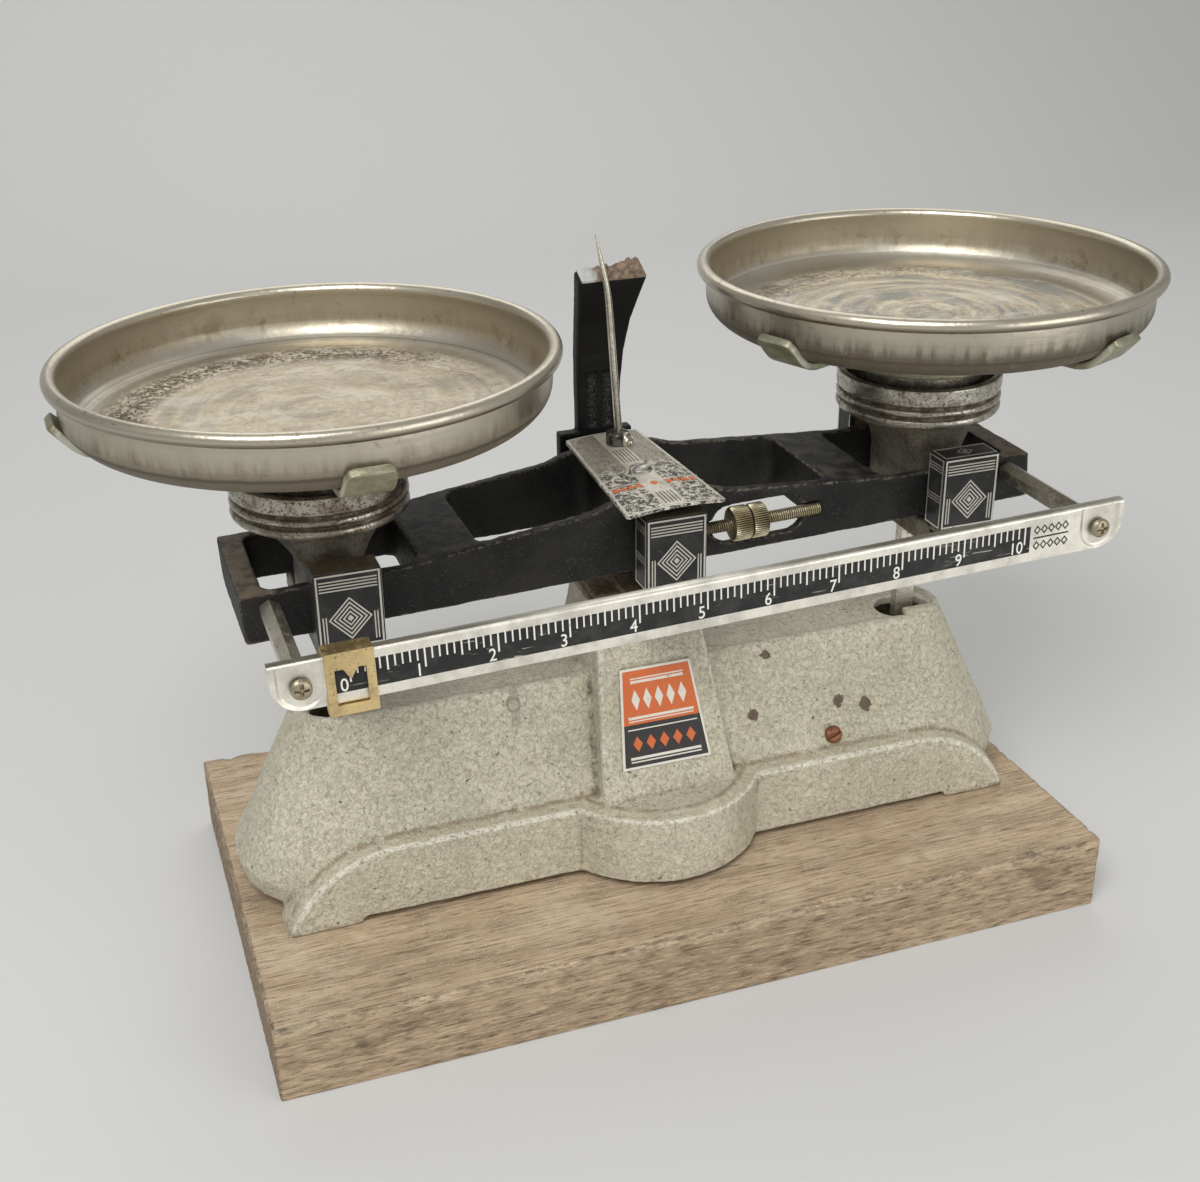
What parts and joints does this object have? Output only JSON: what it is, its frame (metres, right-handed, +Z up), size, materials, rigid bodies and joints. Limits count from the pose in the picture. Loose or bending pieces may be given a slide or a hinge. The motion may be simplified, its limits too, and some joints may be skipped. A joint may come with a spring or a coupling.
{
  "type": "trip balance",
  "caption": "Double-pan trip balance: ladder beam on knife edges, two pans on upright supports, a sliding poise on a scale, a pointer and a long cast base on a board.",
  "frame": {"origin": "centre of the board's underside", "axes": "+X along the beam to the right as seen from the scale, +Z up, -Y towards the scale"},
  "size_m": [0.3623, 0.1672, 0.2329],
  "materials": {
    "weathered_wood": "weathered",
    "hammered_paint": "hammered",
    "black_paint": "wrinkle",
    "bright_steel": "satin",
    "pitted_zinc": "pitted",
    "pan_nickel": "satin",
    "plated_strip": "dull",
    "brass": "satin",
    "agate": "polished",
    "cap_enamel": "satin"
  },
  "bodies": {
    "base": {"wooden_board": "weathered_wood", "base_casting": "hammered_paint", "side_screw": "bright_steel", "bearing_fork": "hammered_paint", "centre_front_bearing": "agate", "centre_rear_bearing": "agate", "centre_front_cap": "cap_enamel", "centre_rear_cap": "cap_enamel", "index_arm": "black_paint", "left_arm_screw": "bright_steel", "right_arm_screw": "bright_steel", "check_pivot_pin": "bright_steel"},
    "beam": {"beam_frame": "black_paint", "left_front_knife": "bright_steel", "left_rear_knife": "bright_steel", "centre_front_knife": "bright_steel", "centre_rear_knife": "bright_steel", "right_front_knife": "bright_steel", "right_rear_knife": "bright_steel", "centre_plate": "pan_nickel", "plate_screw": "bright_steel", "pointer_hub": "black_paint", "pointer_screw": "bright_steel", "pointer_needle": "bright_steel", "balance_rod": "brass", "scale_strip": "bright_steel", "left_scale_rod": "bright_steel", "right_scale_rod": "bright_steel", "left_strip_screw": "bright_steel", "right_strip_screw": "bright_steel"},
    "left_support": {"left_pedestal": "pitted_zinc", "left_front_bearing": "agate", "left_rear_bearing": "agate", "left_front_cap": "cap_enamel", "left_rear_cap": "cap_enamel", "left_stem": "bright_steel", "left_check_pin": "bright_steel", "left_spider": "plated_strip"},
    "right_support": {"right_pedestal": "pitted_zinc", "right_front_bearing": "agate", "right_rear_bearing": "agate", "right_front_cap": "cap_enamel", "right_rear_cap": "cap_enamel", "right_stem": "bright_steel", "right_check_pin": "bright_steel", "right_spider": "plated_strip"},
    "left_pan_body": {"left_pan": "pan_nickel"},
    "right_pan_body": {"right_pan": "pan_nickel"},
    "link": {"check_link": "bright_steel"},
    "poise_body": {"poise": "brass"},
    "nut": {"balance_nut": "brass"},
    "lock": {"lock_nut": "brass"}
  },
  "joints": [
    {"name": "beam_tilt", "type": "hinge", "parent": "base", "child": "beam", "pos_m": [0, 0, 0.1427], "axis": [0, 1, 0], "range_deg": [0, 3.6]},
    {"name": "left_support_hinge", "type": "hinge", "parent": "beam", "child": "left_support", "pos_m": [-0.10395, 0, 0.13943], "axis": [0, 1, 0], "range_deg": [-3.6, 0]},
    {"name": "right_support_hinge", "type": "hinge", "parent": "beam", "child": "right_support", "pos_m": [0.10395, 0, 0.14597], "axis": [0, 1, 0], "range_deg": [-3.6, 0]},
    {"name": "check_link_hinge", "type": "hinge", "parent": "base", "child": "link", "pos_m": [0, 0, 0.0615], "axis": [0, 1, 0], "range_deg": [0, 3.6]},
    {"name": "left_pan_lift", "type": "slide", "parent": "left_support", "child": "left_pan_body", "axis": [0, 0, 1], "range_m": [0, 0.06]},
    {"name": "right_pan_lift", "type": "slide", "parent": "right_support", "child": "right_pan_body", "axis": [0, 0, 1], "range_m": [0, 0.06]},
    {"name": "poise_slide", "type": "slide", "parent": "beam", "child": "poise_body", "axis": [0.9995, 0, 0.0314], "range_m": [0, 0.2111]},
    {"name": "balance_nut_travel", "type": "slide", "parent": "beam", "child": "nut", "axis": [0.9995, 0, 0.0314], "range_m": [-0.0025, 0.004]},
    {"name": "lock_nut_travel", "type": "slide", "parent": "nut", "child": "lock", "axis": [0.9995, 0, 0.0314], "range_m": [0, 0.005]}
  ],
  "couplings": [
    {"joint": "left_support_hinge", "follows": "beam_tilt", "ratio": -1},
    {"joint": "right_support_hinge", "follows": "beam_tilt", "ratio": -1},
    {"joint": "check_link_hinge", "follows": "beam_tilt", "ratio": 1}
  ]
}
